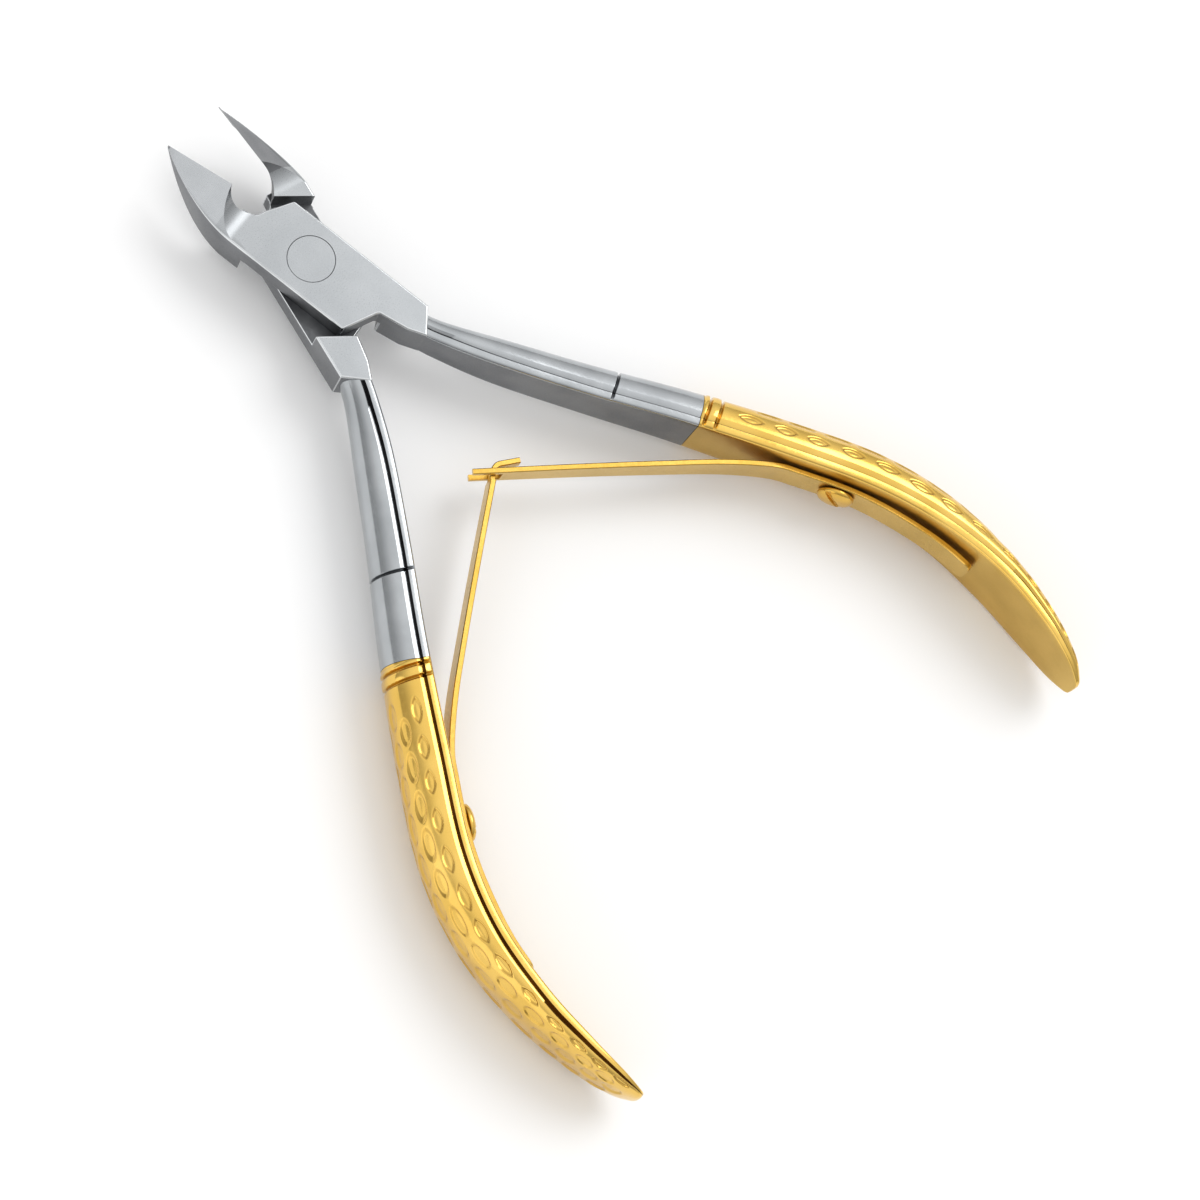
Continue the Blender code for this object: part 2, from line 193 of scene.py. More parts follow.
# Lens-shaped dimples line the crown's two edges, and round ones fill the rows between:
# depth, length over pitch, half width, wall's share, floor's rise, shade painted on the wall
LENS_DIMPLE = (0.22, 0.38, 0.70, 0.55, 0.22, 1.0)
ROUND_DIMPLE = (0.18, 0.43, 0.88, 0.62, 0.08, 0.55)

# Leaf springs
LEAF_THICKNESS = 0.6
LEAF_CORNER = 0.09
LEAF_KNOTS = [(18.62, -72.8), (18.8, -69.5), (18.6, -66.0), (17.95, -61.5), (16.93, -57.5),
              (15.2, -52.8), (14.0, -50.1), (10.95, -45.9), (6.7, -41.0), (0.86, -34.5)]
JUNCTION_Y = -28.3
TAIL_HALF_WIDTH = 1.8
TAIL_CORNER = 0.9
ROOT_HALF_WIDTH = 2.0
TIP_HALF_WIDTH = 1.35
ROOT_KNOT = 6
BEND_KNOTS = (4.9, 7.3)                        # finish_leaf finds points at these knots but does nothing with them
FORK_REACH = 2.3
FORK_CROTCH = 0.85
FORK_SLOT_HALF = 0.85
FORK_CUT_HALF = 2.0
SHOULDER_SETBACK = 0.95
NECK_HALF_WIDTH = 0.65
NECK_REACH = 0.3
HOOK_BEND_RADIUS = 0.9
HOOK_LENGTH = 2.1
HOOK_OPENING = math.radians(8)
HOOK_STEPS = 12

# Spring screws
SCREW_KNOT = 4.13
SCREW_HEAD_RADIUS = 1.95
SCREW_HEAD_HEIGHT = 0.85
SCREW_STEM_RADIUS = 0.8
SCREW_STEM_LENGTH = 2.9
SCREW_SEAT_GAP = 0.15
SLOT_WIDTH = 0.55
SLOT_DEPTH = 0.4
SLOT_TURN = math.radians(40)
SLOT_EDGE_BEVEL = 0.04
SCREW_CHAMFER = 0.08
SCREW_RIM_SHARE = 0.3                          # of the head's height, below its dome

# Camera: aimed at a point on the centreline, turned about its own axis
CAMERA_TARGET = Vector((-0.00041, -0.0451, 0.0025))
CAMERA_AZIMUTH = math.radians(-84.54)
CAMERA_ELEVATION = math.radians(69.52)
CAMERA_ROLL = math.radians(43.05)
CAMERA_DISTANCE = 0.391
CAMERA_LENS = 115.85
SENSOR = 36.0

# Light tent: for each bright patch its direction, and its brightness against the
# cosine of the angle from that direction
TENT_LOBES = (
    ((0.30, 0.03, 0.95), ((0.01, 0.34), (0.30, 0.42), (0.60, 0.60), (0.85, 0.80), (0.98, 0.86))),
    ((-0.95, 0.19, 0.28), ((0.79, 0.0), (0.90, 1.0), (0.99, 1.0))),
)
TENT_STRENGTH = 1.33
KEY_DIRECTION = (0.62, -0.10, 0.78)
KEY_WIDTH = 34.0                               # degrees
KEY_RADIANCE = 3.0
FLOOR_HALF_SIZE = 2.5                          # metres, as the next one
FLOOR_GAP = 0.0002

# Materials: waves per metre of the cloudy colour, the part of the noise's range that is
# used, and the height of the bumps in metres
CLOUD_SCALE = 220.0
CLOUD_RANGE = (0.35, 0.65)
GRAIN_RANGE = (0.3, 0.7)
BUMP_HEIGHT = 0.00002

# Mesh attribute that holds how much shade is painted at each point
RECESS_SHADE = "recess"


# ------------------------------------------------------------------ materials

def new_material(name, colour, metallic, roughness):
    material = bpy.data.materials.new(name)
    material.use_nodes = True
    shader = material.node_tree.nodes["Principled BSDF"]
    shader.inputs["Base Color"].default_value = (*colour, 1.0)
    shader.inputs["Metallic"].default_value = metallic
    shader.inputs["Roughness"].default_value = roughness
    return material, shader


def add_noise(material, scale, detail, stretch=(1.0, 1.0, 1.0)):
    """Noise in object space; scale is waves per metre, stretch slows it along an axis."""
    nodes, links = material.node_tree.nodes, material.node_tree.links
    coords = nodes.new("ShaderNodeTexCoord")
    mapping = nodes.new("ShaderNodeMapping")
    mapping.inputs["Scale"].default_value = stretch
    noise = nodes.new("ShaderNodeTexNoise")
    noise.inputs["Scale"].default_value = scale
    noise.inputs["Detail"].default_value = detail
    links.new(coords.outputs["Object"], mapping.inputs["Vector"])
    links.new(mapping.outputs["Vector"], noise.inputs["Vector"])
    return noise.outputs["Fac"]


def ramp(material, value, low, high, colour_low, colour_high):
    nodes, links = material.node_tree.nodes, material.node_tree.links
    node = nodes.new("ShaderNodeValToRGB")
    node.color_ramp.elements[0].position = low
    node.color_ramp.elements[0].color = (*colour_low, 1.0)
    node.color_ramp.elements[1].position = high
    node.color_ramp.elements[1].color = (*colour_high, 1.0)
    links.new(value, node.inputs["Fac"])
    return node.outputs["Color"]


def remap(material, value, low, high):
    node = material.node_tree.nodes.new("ShaderNodeMapRange")
    node.inputs["From Min"].default_value = GRAIN_RANGE[0]
    node.inputs["From Max"].default_value = GRAIN_RANGE[1]
    node.inputs["To Min"].default_value = low
    node.inputs["To Max"].default_value = high
    material.node_tree.links.new(value, node.inputs["Value"])
    return node.outputs["Result"]


def add_bump(material, shader, height, strength, distance):
    bump = material.node_tree.nodes.new("ShaderNodeBump")
    bump.inputs["Strength"].default_value = strength
    bump.inputs["Distance"].default_value = distance
    material.node_tree.links.new(height, bump.inputs["Height"])
    material.node_tree.links.new(bump.outputs["Normal"], shader.inputs["Normal"])


def metal(name, dark, light, rough, grain_scale, grain_stretch, bump_strength):
    """Metal with cloudy colour, uneven polish and a fine grain."""
    material, shader = new_material(name, light, 1.0, sum(rough) / 2)
    links = material.node_tree.links
    cloud = add_noise(material, CLOUD_SCALE, 3.0)
    links.new(ramp(material, cloud, *CLOUD_RANGE, dark, light), shader.inputs["Base Color"])
    grain = add_noise(material, grain_scale, 4.0, grain_stretch)
    links.new(remap(material, grain, *rough), shader.inputs["Roughness"])
    add_bump(material, shader, grain, bump_strength, BUMP_HEIGHT)
    return material


def paint_shade_in_recesses(material, dark, amount):
    """Paints shade: mixes a dark tone in where the mesh's recess attribute is high."""
    nodes, links = material.node_tree.nodes, material.node_tree.links
    shader = nodes["Principled BSDF"]
    recess = nodes.new("ShaderNodeAttribute")
    recess.attribute_name = RECESS_SHADE
    share = nodes.new("ShaderNodeMath")
    share.operation = "MULTIPLY"
    share.inputs[1].default_value = amount
    mix = nodes.new("ShaderNodeMix")
    mix.data_type = "RGBA"
    colour = shader.inputs["Base Color"].links[0].from_socket
    links.new(recess.outputs["Fac"], share.inputs[0])
    links.new(share.outputs["Value"], mix.inputs["Factor"])
    links.new(colour, mix.inputs["A"])
    mix.inputs["B"].default_value = (*dark, 1.0)
    links.new(mix.outputs["Result"], shader.inputs["Base Color"])


STEEL = metal("satin_steel", (0.335, 0.35, 0.362), (0.365, 0.38, 0.392), (0.26, 0.32),
              9000.0, (1.0, 1.0, 1.0), 0.025)
STEEL_BRUSHED = metal("brushed_steel", (0.40, 0.42, 0.435), (0.48, 0.50, 0.515), (0.14, 0.24),
                      5200.0, (1.0, 0.06, 1.0), 0.10)
# Painted shade: the shank's turned groove is darkened where the recess attribute is high.
paint_shade_in_recesses(STEEL_BRUSHED, (0.03, 0.032, 0.036), 0.9)
# Much lighter steel on the rounded edges: a polished finish with a painted highlight.
STEEL_EDGE_HIGHLIGHT = metal("polished_edge_painted_highlight", (0.58, 0.60, 0.61), (0.68, 0.70, 0.71), (0.14, 0.22),
                   7000.0, (1.0, 1.0, 1.0), 0.03)
# Darker steel for the flanks, lever b's upper facet and the shanks' inner faces: painted shade.
STEEL_SHADE = metal("steel_painted_shade", (0.19, 0.195, 0.205), (0.25, 0.255, 0.265), (0.32, 0.46),
                   6500.0, (1.0, 1.0, 1.0), 0.12)
# Near-black steel on the lap faces, where one lever passes under the other: painted shade.
STEEL_LAP_SHADE = metal("lap_face_painted_shade", (0.05, 0.052, 0.056), (0.15, 0.155, 0.16), (0.30, 0.50),
                  3200.0, (1.0, 1.0, 1.0), 0.25)
# Near-black steel in the seam beside the shank's crown: painted shade.
STEEL_SEAM_SHADE = metal("steel_seam_painted_shade", (0.006, 0.006, 0.007), (0.02, 0.02, 0.022), (0.4, 0.6),
                   6500.0, (1.0, 1.0, 1.0), 0.10)
# Lighter steel for lever a's honed upper facet: painted light.
STEEL_HONED_LIT = metal("honed_facet_painted_light", (0.395, 0.41, 0.425), (0.435, 0.45, 0.465), (0.24, 0.32),
                    9000.0, (1.0, 0.3, 1.0), 0.03)
# Places in each piece's list of materials; place 0 is its main one.
HEAD_STEELS = (STEEL, STEEL_SHADE, STEEL_EDGE_HIGHLIGHT, STEEL_LAP_SHADE, STEEL_HONED_LIT)
SHADED, POLISHED_HIGHLIGHT, LAP_SHADE, HONED_LIT = 1, 2, 3, 4
SHADED_INNER_FACE, SHADED_SEAM = 1, 2
LEAF_EDGE = 1
GOLD = metal("gold_plate", (0.77, 0.49, 0.105), (0.85, 0.56, 0.14), (0.12, 0.20),
             2400.0, (1.0, 1.0, 1.0), 0.06)
# Painted shade: the dimple walls and the grooves between the beads are darkened where the recess
# attribute is high.
paint_shade_in_recesses(GOLD, (0.30, 0.15, 0.02), 0.65)
# Darker satin gold for the grips' inner faces: a satin finish with painted shade.
GOLD_SATIN_SHADE = metal("gold_satin_painted_shade", (0.60, 0.39, 0.085), (0.69, 0.46, 0.115), (0.28, 0.38),
                   4200.0, (1.0, 1.0, 1.0), 0.12)
# Near-black brown in the seam beside the grip's crown: painted shade.
GOLD_SEAM_SHADE = metal("gold_seam_painted_shade", (0.05, 0.02, 0.004), (0.10, 0.045, 0.01), (0.3, 0.5),
                  4200.0, (1.0, 1.0, 1.0), 0.10)
SPRING_FACE = metal("gold_spring_face", (0.64, 0.43, 0.11), (0.72, 0.49, 0.14), (0.26, 0.36),
                    4200.0, (1.0, 1.0, 1.0), 0.08)
SPRING_EDGE = metal("gold_spring_edge", (0.72, 0.44, 0.085), (0.80, 0.51, 0.115), (0.16, 0.24),
                    2400.0, (1.0, 1.0, 1.0), 0.06)


# ------------------------------------------------------------------ helpers

def spline(knots, t):
    """Catmull-Rom value at knot number t; each knot is a tuple of numbers."""
    last = len(knots) - 1
    i = max(0, min(int(t), last - 1))
    u = t - i
    p1, p2 = knots[i], knots[i + 1]
    p0 = knots[i - 1] if i > 0 else tuple(2 * a - b for a, b in zip(p1, p2))
    p3 = knots[i + 2] if i + 2 <= last else tuple(2 * b - a for a, b in zip(p1, p2))
    return tuple(
        0.5 * (2 * b + (c - a) * u + (2 * a - 5 * b + 4 * c - d) * u ** 2
               + (3 * b - a - 3 * c + d) * u ** 3)
        for a, b, c, d in zip(p0, p1, p2, p3))


def span(start, end, count):
    return [start + (end - start) * i / (count - 1) for i in range(count)]


def path_normal(knots, t):
    """Unit vector square to the path at knot number t, to the path's left."""
    step = 0.01
    last = len(knots) - 1
    a = spline(knots, max(t - step, 0.0))
    b = spline(knots, min(t + step, last))
    along = Vector((b[0] - a[0], b[1] - a[1])).normalized()
    return Vector((-along.y, along.x))


def arc(cx, cy, radius, start, end, steps):
    return [(cx + radius * math.cos(math.radians(start + (end - start) * i / steps)),
             cy + radius * math.sin(math.radians(start + (end - start) * i / steps)))
            for i in range(steps + 1)]


class SideFrame:
    """Carries closed-frame millimetres of one lever into row-frame metres at rest."""

    def __init__(self, letter, mirror):
        self.letter = letter
        self.mirror = mirror
        self.turn = Matrix.Rotation(mirror * OPEN_HALF_ANGLE, 4, "Z")
        self.body = f"lever_{letter}"
        self.leaf_body = f"leaf_{letter}"

    def point(self, x, y, z):
        return self.turn @ (Vector((self.mirror * x, y, z)) * MM)


SIDES = (SideFrame("a", 1), SideFrame("b", -1))


def object_from(bm, name, *materials):
    bmesh.ops.recalc_face_normals(bm, faces=bm.faces)
    mesh = bpy.data.meshes.new(name)
    bm.to_mesh(mesh)
    bm.free()
    for material in materials:
        mesh.materials.append(material)
    obj = bpy.data.objects.new(name, mesh)
    bpy.context.scene.collection.objects.link(obj)
    return obj


def ring_mesh(rings):
    """Closed bmesh through rings of points, with flat ends."""
    bm = bmesh.new()
    loops = [[bm.verts.new(p) for p in ring] for ring in rings]
    count = len(rings[0])
    for a, b in zip(loops, loops[1:]):
        for i in range(count):
            j = (i + 1) % count
            bm.faces.new((a[i], a[j], b[j], b[i]))
    bm.faces.new(loops[0])
    bm.faces.new(reversed(loops[-1]))
    return bm


def loft(rings, name, *materials):
    return object_from(ring_mesh(rings), name, *materials)


def settle(obj):
    """Replaces the object's mesh by its evaluated mesh and drops its modifiers."""
    graph = bpy.context.evaluated_depsgraph_get()
    graph.update()
    mesh = bpy.data.meshes.new_from_object(obj.evaluated_get(graph))
    obj.modifiers.clear()
    old = obj.data
    obj.data = mesh
    bpy.data.meshes.remove(old)


def combine(obj, other, operation):
    modifier = obj.modifiers.new(operation.title(), "BOOLEAN")
    modifier.operation = operation
    modifier.solver = "EXACT"
    modifier.object = other
    settle(obj)
    bpy.data.objects.remove(other, do_unlink=True)


def clean(obj):
    """Merges stray points and flat neighbours left by the cuts."""
    bm = bmesh.new()
    bm.from_mesh(obj.data)
    bmesh.ops.remove_doubles(bm, verts=bm.verts, dist=MERGE_DISTANCE)
    bmesh.ops.dissolve_limit(bm, angle_limit=math.radians(0.1), verts=bm.verts, edges=bm.edges)
    bm.to_mesh(obj.data)
    bm.free()


def round_edges(obj, width_at, segments=2, angle=28, material=-1):
    """Rounds each edge sharper than angle by width_at(its middle), in millimetres."""
    bm = bmesh.new()
    bm.from_mesh(obj.data)
    weight = bm.edges.layers.float.new("bevel_weight_edge")
    for edge in bm.edges:
        if math.degrees(edge.calc_face_angle(0.0)) > angle:
            edge[weight] = width_at((edge.verts[0].co + edge.verts[1].co) / 2)
    bm.to_mesh(obj.data)
    bm.free()
    bevel = obj.modifiers.new("Edges", "BEVEL")
    bevel.width = MM
    bevel.segments = segments
    bevel.limit_method = "WEIGHT"
    bevel.material = material
    bevel.use_clamp_overlap = False
    settle(obj)


def shade(obj, angle=30, weighted=False):
    """Smooth shading with sharp edges kept; weighted keeps flat faces flat."""
    obj.data.shade_smooth()
    obj.data.set_sharp_from_angle(angle=math.radians(angle))
    if weighted:
        modifier = obj.modifiers.new("Normals", "WEIGHTED_NORMAL")
        modifier.mode = "FACE_AREA"
        modifier.keep_sharp = True
        modifier.weight = 50
        settle(obj)


def place(obj, body, slot, *nodes):
    if nodes:
        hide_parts(*nodes)
    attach(obj, body)


# ------------------------------------------------------------------ lever heads

def slab_outline():
    """Outline of lap plate and shoulder block.

    The arch stops early so that the recess crosses a straight edge well away from any
    corner: a shorter edge there is overrun by the rounding, which folds faces over.
    Moving it outwards makes the two heads cross when the jaws are closed."""
    w = PLATE_HALF_WIDTH
    throat = arc(1.15, 8.15, 1.4, 262, 190, 14)
    front = [(w, 5.0), (3.66, 5.2)]
    jaw_root = [(-0.28, 8.6), (-w + 0.5, 8.6), (-w + 0.5, 7.0), (-w, 5.4)]
    rear = [(-w, -6.95), (-1.0, -8.3)]
    arch = arc(-0.70, -9.25, 0.75, 60, 30, 4)
    shoulder = [(0.45, -12.0), (1.22, -14.0), (w, -12.15)]
    return front + throat + jaw_root + rear + arch + shoulder


def recess_outline(front):
    """Where the other lever's plate swings; front is the edge on the jaw's side."""
    return front + [(6.0, -6.14), (0.64, -8.83), (-1.6, -9.95), (-6.0, -9.95)]


def jaw_section(y):
    """Jaw section at y: upper facet from the cutting edge out, crease, outer foot, inner foot."""
    forward = (y - HEEL_Y) / (TIP_Y - HEEL_Y)
    edge_z = HEEL_Z + (TIP_Z - HEEL_Z) * forward
    run = max(0.0, (y - UNDERSIDE_START_Y) / (TIP_Y - UNDERSIDE_START_Y))
    foot_z = UNDERSIDE_TIP_Z * run ** UNDERSIDE_CURVE
    behind = max(0.0, (y - SCOOP_START_Y) / (TIP_Y - SCOOP_START_Y))
    half = (PLATE_HALF_WIDTH + JAW_PROUD) * (1 - behind ** JAW_TAPER)
    crease_z = CREASE_LOW_Z + (JOINT_THICKNESS - CREASE_LOW_Z) * (2 * behind - 1) ** 2
    crease_x = -max(half - CREASE_INSET * math.sin(math.pi * behind), CREASE_MIN_HALF)
    foot_x = -max(half, FOOT_MIN_HALF)
    slope = HOLLOW_SLOPE * min(1.0, max(0.0, (y - SCOOP_START_Y) / (HEEL_Y - SCOOP_START_Y)))
    throat = min(1.0, max(0.0, (y - THROAT_START_Y) / (HEEL_Y - THROAT_START_Y)))
    edge_x = -THROAT_DEPTH * math.sin(math.pi * throat) ** 2
    inner = min(slope * (edge_z - foot_z), max(half - INNER_MIN_WALL, INNER_MAX_SHARE * half))
    corner = EDGE_BEVEL * (1 - behind) ** 2 + JAW_PROUD
    turns = [math.radians(90 * i / BEVEL_STEPS) for i in range(BEVEL_STEPS + 1)]
    crease = [(crease_x + corner * (1 - math.sin(a)), crease_z - corner * (1 - math.cos(a)))
              for a in turns]
    foot = [(foot_x + corner * (1 - math.cos(a)), foot_z + corner * (1 - math.sin(a)))
            for a in turns]
    shares = [i / FACET_BANDS for i in range(FACET_BANDS)]
    facet = [(edge_x + (crease[0][0] - edge_x) * u, edge_z + (crease[0][1] - edge_z) * u)
             for u in shares]
    return facet + crease + foot + [(min(edge_x, -inner), foot_z)]


def jaw_form(side):
    """The jaw before its scoop and recess are cut; its rounded corners are polished and get a
    painted highlight.
    """
    stations = span(JAW_ROOT_Y, HEEL_Y, 64) + span(HEEL_Y + 0.12, TIP_Y - 0.08, 60)
    rings = [[side.point(x, y, z) for x, z in jaw_section(y)] for y in stations]
    form = loft(rings, "jaw_form", *HEAD_STEELS)
    count = len(rings[0])
    for face in form.data.polygons:
        band = face.index % count
        past_facet = band - FACET_BANDS
        in_corner = (0 <= past_facet < BEVEL_STEPS
                     or BEVEL_STEPS + 1 <= past_facet <= 2 * BEVEL_STEPS)
        if in_corner and len(face.vertices) == 4:
            face.material_index = POLISHED_HIGHLIGHT
    return form


def scoop_outline():
    centre_z = JOINT_THICKNESS + SCOOP_RADIUS
    curve = arc(SCOOP_START_Y, centre_z, SCOOP_RADIUS, 270, 350, 72)
    return ([(SCOOP_CUT_FROM_Y, JOINT_THICKNESS)] + curve
            + [(curve[-1][0], CUT_HIGH), (SCOOP_CUT_FROM_Y, CUT_HIGH)])


def prism(side, outline, low, high, name, *materials):
    rings = [[side.point(x, y, z) for x, y in outline] for z in (low, high)]
    return loft(rings, name, *materials)


def turned(profile, name, segments, place_at, *materials):
    rings = []
    for radius, z in profile:
        angles = [2 * math.pi * i / segments for i in range(segments)]
        rings.append([place_at @ (Vector((radius * math.cos(a), radius * math.sin(a), z)) * MM)
                      for a in angles])
    return loft(rings, name, *materials)


def dress_head(head, side):
    """Ground sides and lap faces are darker than the satin top: painted shade.

    The two jaws' upper facets have different tones, as they look in the photograph: lever a's is
    lighter, painted light, and lever b's is darker, painted shade."""
    back = side.turn.inverted()
    for face in head.data.polygons:
        if face.material_index == POLISHED_HIGHLIGHT:
            continue
        centre, normal = back @ face.center / MM, back @ face.normal
        near_root = centre.y < JAW_ROOT_Y + FLANK_PAST_ROOT
        flank = abs(normal.z) < SIDE_SLOPE and (near_root or normal.y > REAR_SLOPE)
        facet = centre.y > HEEL_Y - FACET_BEFORE_HEEL and normal.z > SIDE_SLOPE
        if flank or (facet and side.letter == "b"):
            face.material_index = SHADED
        elif facet:
            face.material_index = HONED_LIT
        if abs(centre.z - MID_Z) < LAP_ZONE and abs(normal.z) > LEVEL_SLOPE:
            face.material_index = LAP_SHADE


def lever_head(side, keep_above):
    """Jaw, lap plate and shoulder block as one ground forging."""
    low, high = CUT_LOW, MID_Z + LAP_GAP / 2
    if not keep_above:
        low, high = MID_Z - LAP_GAP / 2, CUT_HIGH

    def recess(front):
        return prism(side, recess_outline(front), low, high, "recess_cutter")

    def width_at(middle):
        near_lap = abs(middle.z / MM - MID_Z) < LAP_ZONE
        return LAP_EDGE_BEVEL if near_lap else EDGE_BEVEL

    head = prism(side, slab_outline(), 0.0, JOINT_THICKNESS,
                 f"lever_{side.letter}_jaw_and_plate", *HEAD_STEELS)
    combine(head, recess(PLATE_FRONT), "DIFFERENCE")
    clean(head)
    # The rounded edges get the lighter polished steel: a painted highlight.
    round_edges(head, width_at, BEVEL_STEPS, material=POLISHED_HIGHLIGHT)
    jaw = jaw_form(side)
    combine(jaw, recess(RECESS_FRONT), "DIFFERENCE")
    scoop = [[side.point(x, y, z) for y, z in scoop_outline()]
             for x in (-CUT_HALF_WIDTH, CUT_HALF_WIDTH)]
    combine(jaw, loft(scoop, "scoop_cutter"), "DIFFERENCE")
    combine(head, jaw, "UNION")
    bore = RIVET_HEAD_RADIUS + RIVET_CLEARANCE
    cutter = turned([(bore, -1.0), (bore, JOINT_THICKNESS + 1.0)], "bore_cutter", 96,
                    Matrix.Identity(4))
    combine(head, cutter, "DIFFERENCE")
    dress_head(head, side)
    shade(head, 33, weighted=True)
    place(head, side.body, "satin_steel", f"lever_{side.letter}_head")


# ------------------------------------------------------------------ handles

def turned_relief(t, grooves, beads):
    """Inward relief of the turned grooves, and outward of the beads, at knot number t."""
    relief = 0.0
    for where in grooves:
        near = abs(t - where) / GROOVE_HALF_WIDTH
        if near < 1:
            relief += GROOVE_DEPTH * (1 - near ** 2)
    for start, end in beads:
        if start < t < end:
            relief -= BEAD_HEIGHT * math.sin(math.pi * (t - start) / (end - start)) ** 0.6
    return relief


def section_points(depth, width, crown_steps):
    """Half section from the inner face's middle round to the crown's ridge.

    Each point is (n outward, z, crown angle in degrees or None)."""
    depth, half = depth - SKIN, width / 2 - SKIN
    k = min(1.0, depth / SMALL_DEPTH)
    edge = EDGE_ROUND * k
    points = [(0.0, 0.0, None), (0.0, 0.5 * half, None), (0.0, 0.8 * (half - edge), None)]
    for i in range(5):
        a = math.radians(90 * i / 4)
        points.append((edge - edge * math.cos(a), half - edge + edge * math.sin(a), None))
    points.append((MARGIN_END * k, half - MARGIN_INSET * k, None))
    points.append((MARGIN_GROOVE * k, half - MARGIN_GROOVE_DEPTH * k, None))
    start = CROWN_START * k
    power = 2 / CROWN_SQUARENESS
    for i in range(crown_steps + 1):
        degrees = CROWN_FIRST_DEGREES + (90 - CROWN_FIRST_DEGREES) * i / crown_steps
        a = math.radians(degrees)
        points.append((start + (depth - start) * math.sin(a) ** power,
                       (half - CROWN_SIDE_INSET * k) * math.cos(a) ** power, degrees))
    return points


def dimple_field(length):
    """Dimples as (distance along, crown angle, half length, half width, is a lens)."""
    rng = random.Random(DIMPLE_SEED)
    dimples = []
    for row, degrees in enumerate(DIMPLE_ROWS):
        is_lens = row in (0, len(DIMPLE_ROWS) - 1)
        _, length_share, half_width = (LENS_DIMPLE if is_lens else ROUND_DIMPLE)[:3]
        along = DIMPLE_FIRST + (DIMPLE_PITCH / 2 if row % 2 else 0.0)
        while along < length - DIMPLE_LAST:
            share = max(0.0, along / length - DIMPLE_TAPER_FROM) / (1 - DIMPLE_TAPER_FROM)
            taper = min(1.0, DIMPLE_TAPER_RATE * share)
            pitch = DIMPLE_PITCH + (DIMPLE_END_PITCH - DIMPLE_PITCH) * taper
            size = DIMPLE_WIDTH_KEPT + (1 - DIMPLE_WIDTH_KEPT) * (pitch / DIMPLE_PITCH)
            dimples.append((along + rng.uniform(-DIMPLE_SHIFT, DIMPLE_SHIFT),
                            degrees + rng.uniform(-DIMPLE_TURN, DIMPLE_TURN),
                            length_share * pitch * rng.uniform(1 - DIMPLE_SPREAD, 1 + DIMPLE_SPREAD),
                            half_width * size * rng.uniform(1 - DIMPLE_SPREAD, 1 + DIMPLE_SPREAD),
                            is_lens))
            along += pitch
    return dimples


def dimple_depth(dimples, along, degrees, arc_radius):
    """How far the crown is pressed in at a point, and how much shade is painted on the dimple's
    wall.

    A dimple has a steep rim round a domed floor."""
    depth = shadow = 0.0
    for centre, row, half_length, half_width, is_lens in dimples:
        a = abs(along - centre) / half_length
        c = abs(math.radians(degrees - row)) * arc_radius / half_width
        inside = 1 - a ** 2 - c ** (LENS_POINT if is_lens else ROUND_POINT)
        if inside > 0:
            full, _, _, wall_share, rise, darkness = LENS_DIMPLE if is_lens else ROUND_DIMPLE
            wall = min(1.0, inside / wall_share)
            wall = wall * wall * (3 - 2 * wall)
            full *= min(1.0, half_width / DIMPLE_FULL_HALF)
            depth = max(depth, full * wall * (1 - rise * inside ** 2))
            shadow = max(shadow, darkness * 4 * wall * (1 - wall))
    return depth, shadow


def path_lengths(knots, stations):
    """Distance along the inner line from the first station, in millimetres."""
    lengths = [0.0]
    for a, b in zip(stations, stations[1:]):
        lengths.append(lengths[-1] + math.dist(spline(knots, a)[:2], spline(knots, b)[:2]))
    return lengths


def handle_rings(side, stations, grooves, beads, crown_steps, dimples_from=None):
    """Rings of points along the handle, and the shadow in its recesses at each point."""
    lengths = path_lengths(HANDLE_KNOTS, stations)
    dimples = []
    start = 0.0
    if dimples_from is not None:
        start = next(s for s, t in zip(lengths, stations) if t >= dimples_from)
        dimples = dimple_field(lengths[-1] - start)
    rings, shadows = [], []
    for along, t in zip(lengths, stations):
        x, y, depth, width = spline(HANDLE_KNOTS, t)
        out = path_normal(HANDLE_KNOTS, t)
        near = [d for d in dimples if abs(d[0] - (along - start)) < d[2]]
        arc_radius = 0.5 * (depth + width / 2) - CROWN_ARC_INSET
        ring = []
        half = section_points(depth, width, crown_steps)
        full = half + [(n, -z, None if a is None else 180 - a) for n, z, a in half[-2:0:-1]]
        for n, z, degrees in full:
            lean = RING_LEAN * (n - depth / 2)
            inward = turned_relief(t - lean, grooves, beads) * min(1.0, n / RELIEF_FULL)
            shadow = max(0.0, inward) / GROOVE_DEPTH
            if degrees is not None:
                pressed, wall_shadow = dimple_depth(near, along - start, degrees, arc_radius)
                inward += pressed
                shadow = max(shadow, wall_shadow)
            shadows.append(shadow)
            tilt = math.atan2(z / width, (n - CROWN_CENTRE * depth) / depth) if n > 0 else 0.0
            n -= inward * max(0.0, math.cos(tilt)) if n > RELIEF_START else 0.0
            z -= inward * math.sin(tilt) if n > RELIEF_START else 0.0
            ring.append(side.point(x + out.x * n, y + out.y * n, MID_Z + z))
        rings.append(ring)
    return rings, shadows


def stations_between(start, end, count, grooves):
    """Even stations, with close ones across the turned grooves."""
    low = min(grooves) - GROOVE_ZONE * GROOVE_HALF_WIDTH
    high = max(grooves) + GROOVE_ZONE * GROOVE_HALF_WIDTH
    stations = [t for t in span(start, end, count) if not low < t < high]
    fine = span(low, high, 10 + GROOVE_STATIONS * len(grooves))
    return sorted(stations + [t for t in fine if start < t < end])


def dress_handle(obj, ring_count):
    """Own materials for the flat inner face and for the seam beside the crown, both darker than the
    crown: painted shade.

    The bands are counted round the ring from the inner face's middle."""
    for face in obj.data.polygons:
        band = face.index % ring_count
        band = min(band, ring_count - 1 - band)
        if len(face.vertices) > 4:
            continue
        if band < SECTION_FLAT:
            face.material_index = SHADED_INNER_FACE
        elif band == SECTION_SEAM:
            face.material_index = SHADED_SEAM


